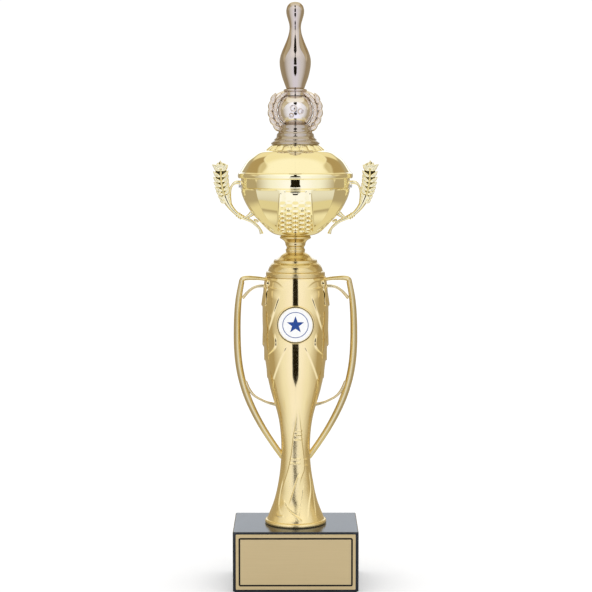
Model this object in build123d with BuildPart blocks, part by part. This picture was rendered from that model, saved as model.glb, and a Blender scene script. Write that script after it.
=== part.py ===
from build123d import *
import os

# Cup trophy with a lift-off lid. Millimetres, +Z up, origin at the middle of the
# base's underside, front towards -Y. Profiles are (radius, height) pairs.

os.makedirs("parts", exist_ok=True)

# ---------------------------------------------------------------- driving sizes
base_width = 93.0
base_depth = 68.5
base_height = 44.5
felt_thickness = 1.5
felt_inset = 1.0
base_top = felt_thickness + base_height

plate_width = 88.4
plate_height = 41.3
plate_thickness = 0.8
tape_thickness = 0.3
tape_inset = 3.0

rod_radius = 3.0            # M6 tie rod through the whole cup
rod_clearance = 0.3
washer_thickness = 1.6
nut_flats = 10.0
nut_height = 5.0
counterbore_radius = 12.0
counterbore_depth = 12.0

foot_height = 3.4
column_bottom = base_top + foot_height
column_top = 232.3
column_wall = 2.0
shoulder_top = 245.1
stem_top = 263.2
bowl_wall = 1.1
bowl_rim_radius = 40.5
bowl_rim = 305.8

lid_radius = 42.8
lid_wall = 1.2
lid_top = 330.3
spigot_depth = 3.6
spigot_clearance = 0.4

figure_rod_radius = 2.5     # M5 rod that clamps the figure to the lid
figure_rod_clearance = 0.2
pedestal_top = 345.5
ball_radius = 12.9
ball_height = 356.0
collar_top = 371.8
pin_top = 435.6

medallion_height = 198.7
medallion_face = -26.2
bezel_radius = 13.85
disc_radius = 12.5
bezel_thickness = 1.2
disc_thickness = 0.8
boss_radius = 14.2

column_handle_depth = 7.0
cup_handle_depth = 5.0

# ------------------------------------------------------------------- outlines
column_outline = [
    (21.6, column_bottom), (16.9, 61.0), (13.1, 76.4), (11.2, 92.0), (11.0, 110.0),
    (13.4, 128.3), (18.6, 146.5), (22.0, 164.7), (24.1, 184.0), (24.7, 201.0),
    (24.1, 222.0), (22.9, column_top),
]
bowl_outline = [
    (11.0, stem_top), (16.0, 264.4), (23.0, 269.9), (28.5, 275.6), (33.4, 281.3),
    (36.8, 286.9), (39.4, 292.7), (40.8, 298.0),
]
lid_outline = [
    (42.2, 309.3), (40.1, 311.6), (37.9, 315.0), (34.5, 319.6), (29.9, 323.5),
    (25.9, 325.9), (23.5, 326.4),
]
pin_outline = [
    (6.7, collar_top), (9.4, 379.4), (11.5, 388.2), (11.5, 394.0), (8.5, 402.8),
    (4.9, 411.6), (4.2, 417.0), (5.7, 423.3), (6.65, 429.1), (3.3, 434.8), (0.0, pin_top),
]
wreath_outline = [
    (10.6, pedestal_top), (17.4, 347.4), (20.9, 353.6), (21.2, 359.6), (18.6, 366.4), (14.4, 369.8),
    (9.9, 369.6),
]


def inset(outline, amount):
    """The same outline with every radius smaller by amount."""
    return [(radius - amount, height) for radius, height in outline]


def spun_solid(outline):
    """A solid of revolution below a curved outline, closed along the axis."""
    with BuildPart() as solid:
        with BuildSketch(Plane.XZ):
            with BuildLine():
                Spline(*outline)
                Polyline(outline[-1], (0, outline[-1][1]), (0, outline[0][1]), outline[0])
            make_face()
        revolve(axis=Axis.Z)
    return solid.part


def mirrored(solid):
    """The left-hand copy of a right-hand solid."""
    return mirror(solid, about=Plane.YZ)


column_body = spun_solid(column_outline)
column_core = spun_solid(inset(column_outline, column_wall))
bowl_body = spun_solid(bowl_outline + [(bowl_rim_radius, bowl_rim)])
ball_body = Pos(0, 0, ball_height) * Sphere(ball_radius)
ball_room = Pos(0, 0, ball_height) * Sphere(ball_radius + 0.02)

# ------------------------------------------------------------------- the base
with BuildPart() as felt_pad:
    with BuildSketch():
        Rectangle(base_width - 2 * felt_inset, base_depth - 2 * felt_inset)
    extrude(amount=felt_thickness)
felt_pad.part.label = "felt_pad"
export_step(felt_pad.part, "parts/felt_pad.step")

with BuildPart() as marble_base:
    with BuildSketch(Plane.XY.offset(felt_thickness)):
        Rectangle(base_width, base_depth)
    extrude(amount=base_height)
    chamfer(marble_base.edges().filter_by(Axis.Z), length=0.7)
    chamfer(marble_base.faces().sort_by(Axis.Z)[-1].edges(), length=0.6)
    with BuildSketch(Plane.XY.offset(felt_thickness)):
        Circle(rod_radius + rod_clearance)
    extrude(amount=base_height, mode=Mode.SUBTRACT)
    with BuildSketch(Plane.XY.offset(felt_thickness)):
        Circle(counterbore_radius)
    extrude(amount=counterbore_depth, mode=Mode.SUBTRACT)
marble_base.part.label = "marble_base"
export_step(marble_base.part, "parts/marble_base.step")

base_front = -base_depth / 2
base_middle = felt_thickness + base_height / 2

with BuildPart() as nameplate_tape:
    with BuildSketch(Plane.XZ.offset(-base_front)):
        with Locations((0, base_middle)):
            Rectangle(plate_width - tape_inset, plate_height - tape_inset)
    extrude(amount=tape_thickness)
nameplate_tape.part.label = "nameplate_tape"
export_step(nameplate_tape.part, "parts/nameplate_tape.step")

with BuildPart() as nameplate:
    with BuildSketch(Plane.XZ.offset(tape_thickness - base_front)):
        with Locations((0, base_middle)):
            RectangleRounded(plate_width, plate_height, 0.6)
    extrude(amount=plate_thickness)
nameplate.part.label = "nameplate"
export_step(nameplate.part, "parts/nameplate.step")

# ------------------------------------------------- tie rod, its washers and nuts
counterbore_top = felt_thickness + counterbore_depth
base_nut_bottom = counterbore_top - washer_thickness - nut_height
bowl_floor = stem_top + bowl_wall
bowl_nut_bottom = bowl_floor + washer_thickness
rod_overhang = 2.0

with BuildPart() as tie_rod:
    with BuildSketch(Plane.XY.offset(base_nut_bottom - rod_overhang)):
        Circle(rod_radius)
    extrude(amount=bowl_nut_bottom + nut_height - base_nut_bottom + 2 * rod_overhang)
    chamfer(tie_rod.edges().filter_by(GeomType.CIRCLE), length=0.5)
tie_rod.part.label = "tie_rod"
export_step(tie_rod.part, "parts/tie_rod.step")


def washer(bottom, outer_radius, hole_radius, thickness):
    """A flat washer that lies on height bottom."""
    with BuildPart() as piece:
        with BuildSketch(Plane.XY.offset(bottom)):
            Circle(outer_radius)
            Circle(hole_radius, mode=Mode.SUBTRACT)
        extrude(amount=thickness)
    return piece.part


def nut(bottom, flats, hole_radius, height):
    """A hexagon nut that lies on height bottom."""
    with BuildPart() as piece:
        with BuildSketch(Plane.XY.offset(bottom)):
            RegularPolygon(flats / 2, 6, major_radius=False)
            Circle(hole_radius, mode=Mode.SUBTRACT)
        extrude(amount=height)
    return piece.part


with BuildPart() as base_washer:
    add(washer(counterbore_top - washer_thickness, 9.0, rod_radius + 0.2, washer_thickness))
base_washer.part.label = "base_washer"
export_step(base_washer.part, "parts/base_washer.step")

with BuildPart() as base_nut:
    add(nut(base_nut_bottom, nut_flats, rod_radius, nut_height))
base_nut.part.label = "base_nut"
export_step(base_nut.part, "parts/base_nut.step")

with BuildPart() as bowl_washer:
    add(washer(bowl_floor, 8.0, rod_radius + 0.2, washer_thickness))
bowl_washer.part.label = "bowl_washer"
export_step(bowl_washer.part, "parts/bowl_washer.step")

with BuildPart() as bowl_nut:
    add(nut(bowl_nut_bottom, nut_flats, rod_radius, nut_height))
bowl_nut.part.label = "bowl_nut"
export_step(bowl_nut.part, "parts/bowl_nut.step")

# ------------------------------------------------------------ foot ring of the column
rod_hole = rod_radius + rod_clearance
foot_lip = column_bottom + 2.5

with BuildPart() as column_foot:
    with BuildSketch(Plane.XZ):
        with BuildLine():
            Polyline((rod_hole, base_top), (22.3, base_top))
            ThreePointArc((22.3, base_top), (23.1, base_top + 1.7), (21.9, column_bottom))
            Polyline(
                (21.9, column_bottom), (19.2, column_bottom), (18.0, foot_lip), (16.2, foot_lip),
                (16.2, base_top + 2.0), (rod_hole, base_top + 2.0), (rod_hole, base_top),
            )
        make_face()
    revolve(axis=Axis.Z)
column_foot.part.label = "column_foot"
export_step(column_foot.part, "parts/column_foot.step")

# --------------------------------------- column handles, held in the seam of the column
bar_height = 230.6
strap_route = [
    (40.2, 228.6), (43.1, 208.0), (43.7, 186.0), (41.9, 163.0), (38.2, 147.5), (32.2, 132.3),
    (22.4, 114.4), (9.0, 95.6),
]
upper_branch_route = [(20.5, 225.2), (28.0, 225.0), (33.6, 222.3), (39.4, 215.6)]
lower_branch_route = [(12.0, 135.6), (22.5, 138.0), (30.4, 142.4), (37.4, 152.6)]

with BuildPart() as handle_blank:
    with BuildSketch(Plane.XZ):
        with BuildLine():
            FilletPolyline((19.5, bar_height), (39.4, bar_height), (40.9, 222.0), radius=4.0)
        trace(line_width=3.0)
        with BuildLine():
            Spline(*strap_route)
        trace(line_width=4.8)
        with BuildLine():
            Spline(*upper_branch_route)
        trace(line_width=2.2)
        with BuildLine():
            Spline(*lower_branch_route)
        trace(line_width=2.2)
    extrude(amount=column_handle_depth / 2, both=True)
    with BuildSketch(Plane.XY.offset(224.0)):
        with Locations((22.4, 0)):
            Rectangle(4.0, 4.4)
    extrude(amount=bar_height + 1.0 - 224.0)
    split(bisect_by=Plane.YZ, keep=Keep.TOP)

with BuildPart() as column_handle_right:
    add(handle_blank.part)
    add(column_core, mode=Mode.SUBTRACT)
column_handle_right.part.label = "column_handle_right"
export_step(column_handle_right.part, "parts/column_handle_right.step")

with BuildPart() as column_handle_left:
    add(mirrored(column_handle_right.part))
column_handle_left.part.label = "column_handle_left"
export_step(column_handle_left.part, "parts/column_handle_left.step")

# ------------------------------------------------------- column, in two moulded halves
seat_depth = medallion_face + bezel_thickness
boss_length = 8.0


def column_half(keep, with_boss):
    """Half of the hollow column, notched for the handles; the front one carries a round seat."""
    with BuildPart() as half:
        add(column_body)
        if with_boss:
            with BuildSketch(Plane.XZ.offset(-seat_depth)):
                with Locations((0, medallion_height)):
                    Circle(boss_radius)
            extrude(amount=-boss_length)
        add(column_core, mode=Mode.SUBTRACT)
        split(bisect_by=Plane.XZ, keep=keep)
        add(handle_blank.part, mode=Mode.SUBTRACT)
        add(mirrored(handle_blank.part), mode=Mode.SUBTRACT)
    return half.part


with BuildPart() as column_front:
    add(column_half(Keep.TOP, True))
column_front.part.label = "column_front"
export_step(column_front.part, "parts/column_front.step")

with BuildPart() as column_rear:
    add(column_half(Keep.BOTTOM, False))
column_rear.part.label = "column_rear"
export_step(column_rear.part, "parts/column_rear.step")

# --------------------------------------------------------------------- medallion
with BuildPart() as medallion_bezel:
    with BuildSketch(Plane.XZ.offset(-seat_depth)):
        with Locations((0, medallion_height)):
            Circle(bezel_radius)
            Circle(disc_radius, mode=Mode.SUBTRACT)
    extrude(amount=bezel_thickness)
    fillet(medallion_bezel.faces().sort_by(Axis.Y)[0].edges(), radius=0.4)
medallion_bezel.part.label = "medallion_bezel"
export_step(medallion_bezel.part, "parts/medallion_bezel.step")

with BuildPart() as medallion_disc:
    with BuildSketch(Plane.XZ.offset(-seat_depth)):
        with Locations((0, medallion_height)):
            Circle(disc_radius)
    extrude(amount=disc_thickness)
medallion_disc.part.label = "medallion_disc"
export_step(medallion_disc.part, "parts/medallion_disc.step")

# -------------------------------------------------------------- shoulder cap and stem
with BuildPart() as shoulder_cap:
    with BuildSketch(Plane.XZ):
        with BuildLine():
            Polyline(
                (rod_hole, shoulder_top), (rod_hole, shoulder_top - 2.4), (12.5, shoulder_top - 2.4),
                (17.0, 238.4), (18.6, 235.4), (18.6, 229.3), (20.6, 229.3), (20.6, column_top),
                (22.0, column_top), (21.95, 235.3), (21.5, 236.4), (20.2, 237.0), (19.9, 238.6),
                (19.2, 240.2), (17.8, 242.1), (16.0, 243.6), (15.7, shoulder_top),
                (rod_hole, shoulder_top),
            )
        make_face()
    revolve(axis=Axis.Z)
shoulder_cap.part.label = "shoulder_cap"
export_step(shoulder_cap.part, "parts/shoulder_cap.step")

with BuildPart() as cup_stem:
    with BuildSketch(Plane.XZ):
        with BuildLine():
            Polyline((rod_hole, stem_top), (rod_hole, shoulder_top), (14.8, shoulder_top))
            Spline(
                (14.8, shoulder_top), (12.3, 246.8), (8.6, 250.2), (7.2, 252.4), (6.5, 254.3),
                (7.2, 256.2), (8.7, 259.4), (10.6, 260.8),
            )
            Polyline((10.6, 260.8), (11.7, 261.6), (11.6, 262.2), (10.6, stem_top), (rod_hole, stem_top))
        make_face()
    revolve(axis=Axis.Z)
cup_stem.part.label = "cup_stem"
export_step(cup_stem.part, "parts/cup_stem.step")

# ------------------------------------------------------------- laurel handles of the cup
upper_screw_height = 299.8
lower_screw_height = 279.3
screw_radius = 1.0
leaf_outline = [
    (47.2, 286.6), (54.2, 290.0), (58.6, 299.0), (60.6, 309.0), (62.4, 318.2), (56.6, 320.6),
    (50.8, 316.8), (50.9, 308.0), (51.4, 299.0), (48.6, 291.0), (47.2, 286.6),
]
stem_route = [(51.0, 290.0), (47.2, 283.2), (41.6, 278.4), (34.0, 274.4), (28.6, 270.2), (25.5, 264.4)]
arm_route = [(48.6, 285.0), (49.2, 292.0), (48.4, 298.6), (45.0, 302.2), (41.0, 302.3)]

with BuildPart() as cup_handle_right:
    with BuildSketch(Plane.XZ):
        with BuildLine():
            Spline(*leaf_outline)
        make_face()
        with BuildLine():
            Spline(*stem_route)
        trace(line_width=3.2)
        with BuildLine():
            Spline(*arm_route)
        trace(line_width=2.4)
        with BuildLine():
            Polyline((36.2, 276.0), (31.4, 280.4))
        trace(line_width=3.4)
        with Locations((41.6, 301.2)):
            Rectangle(2.6, 5.6)
    extrude(amount=cup_handle_depth / 2, both=True)
    add(bowl_body, mode=Mode.SUBTRACT)
    with BuildSketch(Plane.YZ.offset(30.0)):
        with Locations((0, upper_screw_height), (0, lower_screw_height)):
            Circle(screw_radius)
    extrude(amount=12.5, mode=Mode.SUBTRACT)
cup_handle_right.part.label = "cup_handle_right"
export_step(cup_handle_right.part, "parts/cup_handle_right.step")

with BuildPart() as cup_handle_left:
    add(mirrored(cup_handle_right.part))
cup_handle_left.part.label = "cup_handle_left"
export_step(cup_handle_left.part, "parts/cup_handle_left.step")

# ---------------------------------------------------------------------------- bowl
with BuildPart() as bowl:
    with BuildSketch(Plane.XZ):
        with BuildLine():
            Polyline((rod_hole, stem_top), bowl_outline[0])
            Spline(*bowl_outline)
            Polyline(
                bowl_outline[-1], (40.1, 298.6), (bowl_rim_radius, 299.2), (bowl_rim_radius, bowl_rim),
                (39.3, bowl_rim), (39.3, 298.2),
            )
            Spline(
                (39.3, 298.2), (38.2, 292.6), (35.7, 287.2), (32.4, 281.9), (27.7, 276.5),
                (22.3, 270.9), (15.6, 265.5), (10.4, bowl_floor),
            )
            Polyline((10.4, bowl_floor), (rod_hole, bowl_floor), (rod_hole, stem_top))
        make_face()
    revolve(axis=Axis.Z)
    with BuildSketch(Plane.YZ):
        with Locations((0, upper_screw_height), (0, lower_screw_height)):
            Circle(screw_radius)
    extrude(amount=bowl_rim_radius + 2.0, both=True, mode=Mode.SUBTRACT)
bowl.part.label = "bowl"
export_step(bowl.part, "parts/bowl.step")


def handle_screw(height, head_x, shank_length):
    """A small screw along +X with its pan head inside the bowl."""
    with BuildPart() as piece:
        with BuildSketch(Plane.YZ.offset(head_x)):
            with Locations((0, height)):
                Circle(1.9)
        extrude(amount=-1.2)
        with BuildSketch(Plane.YZ.offset(head_x)):
            with Locations((0, height)):
                Circle(screw_radius)
        extrude(amount=shank_length)
    return piece.part


with BuildPart() as handle_screws:
    for screw in (handle_screw(upper_screw_height, 39.2, 3.0), handle_screw(lower_screw_height, 28.6, 5.6)):
        add(screw)
        add(mirrored(screw))
handle_screws.part.label = "handle_screws"
export_step(handle_screws.part, "parts/handle_screws.step")

# ----------------------------------------------------------------------------- lid
spigot_radius = 39.3 - spigot_clearance
spigot_bottom = bowl_rim - spigot_depth
lid_hole = figure_rod_radius + figure_rod_clearance
lid_ceiling = lid_top - lid_wall

with BuildPart() as lid:
    with BuildSketch(Plane.XZ):
        with BuildLine():
            Polyline((spigot_radius, spigot_bottom), (spigot_radius, bowl_rim), (42.2, bowl_rim))
            ThreePointArc((42.2, bowl_rim), (lid_radius, 307.5), lid_outline[0])
            Spline(*lid_outline)
            Polyline(
                lid_outline[-1], (20.95, 326.4), (20.95, 327.0), (17.6, lid_top), (lid_hole, lid_top),
                (lid_hole, lid_ceiling), (16.8, lid_ceiling), (19.4, 326.2), (19.4, 325.2), (23.4, 325.2),
            )
            Spline(
                (23.4, 325.2), (29.0, 322.6), (33.5, 318.8), (36.5, 314.8),
                (spigot_radius - lid_wall, 309.0),
            )
            Polyline(
                (spigot_radius - lid_wall, 309.0), (spigot_radius - lid_wall, spigot_bottom),
                (spigot_radius, spigot_bottom),
            )
        make_face()
    revolve(axis=Axis.Z)
lid.part.label = "lid"
export_step(lid.part, "parts/lid.step")

# ------------------------------------------------ figure on the lid, on one threaded rod
lid_washer_thickness = 1.0
figure_nut_height = 4.0
lid_nut_bottom = lid_ceiling - lid_washer_thickness - figure_nut_height
figure_rod_top = 384.0
figure_rod_overhang = 1.5

with BuildPart() as lid_washer:
    add(washer(lid_ceiling - lid_washer_thickness, 6.5, lid_hole, lid_washer_thickness))
lid_washer.part.label = "lid_washer"
export_step(lid_washer.part, "parts/lid_washer.step")

with BuildPart() as lid_nut:
    add(nut(lid_nut_bottom, 8.0, figure_rod_radius, figure_nut_height))
lid_nut.part.label = "lid_nut"
export_step(lid_nut.part, "parts/lid_nut.step")

with BuildPart() as figure_rod:
    with BuildSketch(Plane.XY.offset(lid_nut_bottom - figure_rod_overhang)):
        Circle(figure_rod_radius)
    extrude(amount=figure_rod_top - lid_nut_bottom + figure_rod_overhang)
    chamfer(figure_rod.edges().filter_by(GeomType.CIRCLE), length=0.4)
figure_rod.part.label = "figure_rod"
export_step(figure_rod.part, "parts/figure_rod.step")

with BuildPart() as riser_pedestal:
    with BuildSketch(Plane.XZ):
        with BuildLine():
            Polyline(
                (lid_hole, lid_top), (17.7, lid_top), (18.1, 331.2), (17.3, 332.6), (16.3, 333.4),
                (15.9, 335.2), (14.6, 336.4), (13.8, 338.6), (12.5, 339.8), (12.0, 341.4),
                (12.0, 342.4), (11.4, pedestal_top), (lid_hole, pedestal_top), (lid_hole, lid_top),
            )
        make_face()
    revolve(axis=Axis.Z)
    add(ball_room, mode=Mode.SUBTRACT)
riser_pedestal.part.label = "riser_pedestal"
export_step(riser_pedestal.part, "parts/riser_pedestal.step")

finger_holes = [((-1.5, ball_height + 1.6), 2.0), ((3.9, ball_height - 0.7), 1.8), ((-2.9, ball_height - 3.6), 1.4)]
finger_hole_bottom = 8.6

with BuildPart() as bowling_ball:
    add(ball_body)
    split(bisect_by=Plane.XY.offset(pedestal_top), keep=Keep.TOP)
    with BuildSketch(Plane.XY.offset(pedestal_top)):
        Circle(lid_hole)
    extrude(amount=2 * ball_radius + 1.0, mode=Mode.SUBTRACT)
    with BuildSketch(Plane.XZ.offset(finger_hole_bottom)):
        for centre, radius in finger_holes:
            with Locations(centre):
                Circle(radius)
    extrude(amount=ball_radius, mode=Mode.SUBTRACT)
bowling_ball.part.label = "bowling_ball"
export_step(bowling_ball.part, "parts/bowling_ball.step")

collar_bottom = 367.2

with BuildPart() as pin_seat:
    with BuildSketch(Plane.XZ):
        with BuildLine():
            Polyline(
                (lid_hole, collar_top), (6.9, collar_top), (8.3, 371.6), (8.7, 370.9), (8.4, 370.1),
                (6.6, 369.6), (6.9, collar_bottom), (lid_hole, collar_bottom), (lid_hole, collar_top),
            )
        make_face()
    revolve(axis=Axis.Z)
    add(ball_room, mode=Mode.SUBTRACT)
pin_seat.part.label = "pin_seat"
export_step(pin_seat.part, "parts/pin_seat.step")

wreath_inner_radius = ball_radius + 0.4
wreath_depth = 7.0

with BuildPart() as wreath_right:
    with BuildSketch(Plane.XZ):
        with BuildLine():
            Spline(*wreath_outline)
            Polyline(wreath_outline[-1], (6.0, 367.9), (6.0, pedestal_top), wreath_outline[0])
        make_face()
        with Locations((0, ball_height)):
            Circle(wreath_inner_radius, mode=Mode.SUBTRACT)
    extrude(amount=wreath_depth / 2, both=True)
    add(pin_seat.part, mode=Mode.SUBTRACT)
wreath_right.part.label = "wreath_right"
export_step(wreath_right.part, "parts/wreath_right.step")

with BuildPart() as wreath_left:
    add(mirrored(wreath_right.part))
wreath_left.part.label = "wreath_left"
export_step(wreath_left.part, "parts/wreath_left.step")

with BuildPart() as bowling_pin:
    with BuildSketch(Plane.XZ):
        with BuildLine():
            Spline(*pin_outline)
            Polyline((0, pin_top), (0, collar_top), pin_outline[0])
        make_face()
    revolve(axis=Axis.Z)
    with BuildSketch(Plane.XY.offset(collar_top)):
        Circle(figure_rod_radius)
    extrude(amount=figure_rod_top + 1.0 - collar_top, mode=Mode.SUBTRACT)
bowling_pin.part.label = "bowling_pin"
export_step(bowling_pin.part, "parts/bowling_pin.step")
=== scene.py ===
import math

import bmesh
import bpy
import numpy as np
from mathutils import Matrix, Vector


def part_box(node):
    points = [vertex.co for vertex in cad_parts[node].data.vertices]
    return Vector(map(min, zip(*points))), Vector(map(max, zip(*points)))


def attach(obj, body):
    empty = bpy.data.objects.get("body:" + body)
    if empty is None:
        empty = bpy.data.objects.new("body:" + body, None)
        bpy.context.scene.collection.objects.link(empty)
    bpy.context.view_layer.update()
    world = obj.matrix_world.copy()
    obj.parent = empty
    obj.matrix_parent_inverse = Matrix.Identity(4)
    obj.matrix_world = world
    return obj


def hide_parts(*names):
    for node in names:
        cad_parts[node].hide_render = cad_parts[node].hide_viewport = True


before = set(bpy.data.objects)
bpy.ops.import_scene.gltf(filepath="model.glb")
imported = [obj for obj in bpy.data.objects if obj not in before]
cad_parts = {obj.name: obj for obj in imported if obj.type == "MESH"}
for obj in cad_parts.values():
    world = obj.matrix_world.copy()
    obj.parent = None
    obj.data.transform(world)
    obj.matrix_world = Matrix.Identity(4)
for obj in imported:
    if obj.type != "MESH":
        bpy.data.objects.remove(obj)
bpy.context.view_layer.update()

# Cup trophy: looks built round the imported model. Metres in Blender; the shapes below are
# written in millimetres in the same frame and scaled once, when a mesh is made.

MM = 0.001
TROPHY, LID = "trophy", "lid"


# ---- curves and meshes
def spline(points, steps=12):
    """Natural cubic spline through the points, with steps samples to each span."""
    points = np.array(points, float)
    lengths = np.linalg.norm(np.diff(points, axis=0), axis=1)
    count = len(points)
    system = np.eye(count)
    right = np.zeros_like(points)
    for i in range(1, count - 1):
        before, after = lengths[i - 1], lengths[i]
        system[i, i - 1:i + 2] = before, 2 * (before + after), after
        right[i] = 6 * ((points[i + 1] - points[i]) / after - (points[i] - points[i - 1]) / before)
    bend = np.linalg.solve(system, right)
    samples = []
    for i, length in enumerate(lengths):
        for t in np.linspace(0, length, steps, endpoint=False):
            left, rest = t, length - t
            samples.append(
                (bend[i] * rest**3 + bend[i + 1] * left**3) / (6 * length)
                + (points[i] / length - bend[i] * length / 6) * rest
                + (points[i + 1] / length - bend[i + 1] * length / 6) * left
            )
    samples.append(points[-1])
    return np.array(samples)


def rounded(points, radius, steps=4):
    """The polyline with each inner corner eased over about radius."""
    points = [np.array(p, float) for p in points]
    out = [points[0]]
    for a, b, c in zip(points, points[1:], points[2:]):
        reach_in = min(radius, 0.45 * np.linalg.norm(a - b))
        reach_out = min(radius, 0.45 * np.linalg.norm(c - b))
        start = b + (a - b) / max(np.linalg.norm(a - b), 1e-9) * reach_in
        end = b + (c - b) / max(np.linalg.norm(c - b), 1e-9) * reach_out
        for t in np.linspace(0, 1, steps + 1):
            out.append((1 - t) ** 2 * start + 2 * t * (1 - t) * b + t**2 * end)
    out.append(points[-1])
    return np.array(out)


def soft_step(value, width):
    """0 below nought and 1 above it, changing over about width."""
    return 1 / (1 + np.exp(np.clip(-value / width, -60, 60)))


def bell(value, width, power=2):
    """1 at nought, fading to 0 on both sides; a higher even power has a flatter top."""
    return np.exp(-((value / width) ** power))


def between(value, low, high):
    """Distance inside the range from low to high, negative outside it."""
    return np.minimum(value - low, high - value)


def turned_surface(radius, turn, height):
    """Points at a radius and height, turned about Z from the front."""
    return np.stack([radius * np.sin(turn), -radius * np.cos(turn), height + 0 * turn], axis=-1)


def grid_faces(rows, columns, wrap=False):
    """Quads of a grid of vertices, row after row; wrap joins the last column to the first."""
    across = columns if wrap else columns - 1
    faces = []
    for r in range(rows - 1):
        base = r * columns
        for c in range(across):
            d = (c + 1) % columns
            faces.append((base + c, base + d, base + columns + d, base + columns + c))
    return faces


class Shape:
    """Vertices in millimetres and faces, gathered from several surfaces."""

    def __init__(self):
        self.vertices = []
        self.faces = []

    def add(self, vertices, faces):
        first = len(self.vertices)
        self.vertices.extend(np.asarray(vertices, float).reshape(-1, 3).tolist())
        self.faces.extend(tuple(first + i for i in face) for face in faces)
        return first

    def grid(self, surface, wrap=False):
        """A grid of points, as an array of rows by columns by 3; gives its first vertex number."""
        rows, columns = surface.shape[:2]
        return self.add(surface, grid_faces(rows, columns, wrap))

    def mirrored(self):
        """The same shape on the other side of the middle plane."""
        copy = Shape()
        copy.add(np.array(self.vertices) * (-1, 1, 1), [face[::-1] for face in self.faces])
        return copy


def tube(rings, closed=False):
    """A Shape from equal rings of points; closed fills the first and the last ring."""
    rings = np.asarray(rings, float)
    shape = Shape()
    shape.grid(rings, wrap=True)
    if closed:
        count = rings.shape[1]
        shape.faces.append(tuple(range(count)))
        shape.faces.append(tuple((len(rings) - 1) * count + i for i in reversed(range(count))))
    return shape


def piece(name, shape, material, body, replaces=(), sharp=40):
    """A smooth-shaded Blender object made from a Shape, riding on its body."""
    mesh = bpy.data.meshes.new(name)
    work = bmesh.new()
    made = [work.verts.new([x * MM for x in v]) for v in shape.vertices]
    for face in shape.faces:
        corners = list(dict.fromkeys(made[i] for i in face))
        if len(corners) > 2:
            work.faces.new(corners)
    bmesh.ops.remove_doubles(work, verts=work.verts, dist=2e-6)
    bmesh.ops.recalc_face_normals(work, faces=work.faces)
    work.to_mesh(mesh)
    work.free()
    mesh.polygons.foreach_set("use_smooth", [True] * len(mesh.polygons))
    mesh.set_sharp_from_angle(angle=math.radians(sharp))
    mesh.materials.append(material)
    made_object = bpy.data.objects.new(name, mesh)
    bpy.context.scene.collection.objects.link(made_object)
    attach(made_object, body)
    if replaces:
        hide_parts(*replaces)


def piece_pair(stem, ending, shape, material, body):
    """A right-hand piece and its mirror image; each stands for the CAD node of its own side."""
    for side, made in (("right", shape), ("left", shape.mirrored())):
        piece(f"{stem}_{side}_{ending}", made, material, body, [f"{stem}_{side}"])


def levels_of(node_name):
    """The lowest and highest z of a CAD node, in millimetres."""
    low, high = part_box(node_name)
    return low.z / MM, high.z / MM


def lathe(profile, segments=192, swell=None):
    """A surface of revolution about Z from (radius, height) points; swell changes radii by angle."""
    profile = np.array(profile, float)
    angles = np.linspace(0, 2 * math.pi, segments, endpoint=False)
    radius, height = profile[:, :1], profile[:, 1:]
    if swell is not None:
        radius = radius + swell(angles[None, :], height)
    return tube(turned_surface(radius, angles, height))


def turned_piece(name, profile, ease, material, body, node_name):
    """A piece turned from a profile whose corners are eased, standing for one CAD node."""
    piece(name, lathe(rounded(profile, ease)), material, body, [node_name])


def sweep(route, section, widths, depths):
    """A bar along a route in the XZ plane. section is a loop of (outward, forward) points."""
    route = np.array(route, float)
    tangent = np.gradient(route, axis=0)
    tangent /= np.linalg.norm(tangent, axis=1)[:, None]
    outward = np.stack([tangent[:, 1], -tangent[:, 0]], axis=1)
    section = np.array(section, float)
    share = np.linspace(0, 1, len(route))
    width = np.interp(share, np.linspace(0, 1, len(widths)), widths)[:, None]
    depth = np.interp(share, np.linspace(0, 1, len(depths)), depths)[:, None]
    side = section[None, :, 0] * width
    x = route[:, :1] + outward[:, :1] * side
    z = route[:, 1:] + outward[:, 1:] * side
    y = -section[None, :, 1] * depth
    return tube(np.stack([x, y + 0 * x, z], axis=-1), closed=True)


def joined(*shapes):
    """One Shape that holds several."""
    whole = Shape()
    for shape in shapes:
        whole.add(shape.vertices, shape.faces)
    return whole


# ---- materials
def new_material(name, **constants):
    """A node material, its tree and its Principled shader, whose sockets get the constants."""
    material = bpy.data.materials.new(name)
    material.use_nodes = True
    shader = material.node_tree.nodes["Principled BSDF"]
    for key, value in constants.items():
        shader.inputs[key.replace("_", " ")].default_value = value
    return material, material.node_tree, shader


def node(tree, kind, **settings):
    """A shader node; settings name its properties, or its sockets with _ for spaces."""
    made = tree.nodes.new(kind)
    for key, value in settings.items():
        if hasattr(made, key):
            setattr(made, key, value)
        else:
            made.inputs[key.replace("_", " ")].default_value = value
    return made


def coordinates(tree):
    """Object coordinates, which are metres in the trophy's own frame."""
    return node(tree, "ShaderNodeTexCoord").outputs["Object"]


def noise(tree, scale, detail=3.0, roughness=0.5):
    """Three-dimensional noise; scale is in features per metre."""
    made = node(tree, "ShaderNodeTexNoise", Scale=scale, Detail=detail, Roughness=roughness)
    tree.links.new(coordinates(tree), made.inputs["Vector"])
    return made.outputs["Fac"]


def ramp(tree, source, stops):
    """A colour ramp with (place, colour) stops."""
    made = node(tree, "ShaderNodeValToRGB")
    band = made.color_ramp
    while len(band.elements) < len(stops):
        band.elements.new(0.5)
    for element, (place, colour) in zip(band.elements, stops):
        element.position = place
        element.color = (*colour, 1) if len(colour) == 3 else colour
    tree.links.new(source, made.inputs["Fac"])
    return made.outputs["Color"]


def value_range(tree, source, low, high):
    """Maps 0..1 to low..high."""
    made = node(tree, "ShaderNodeMapRange", To_Min=low, To_Max=high)
    tree.links.new(source, made.inputs["Value"])
    return made.outputs["Result"]


def tint(tree, shader, source, stops):
    """Colours the surface by a ramp along the source."""
    tree.links.new(ramp(tree, source, stops), shader.inputs["Base Color"])


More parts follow.
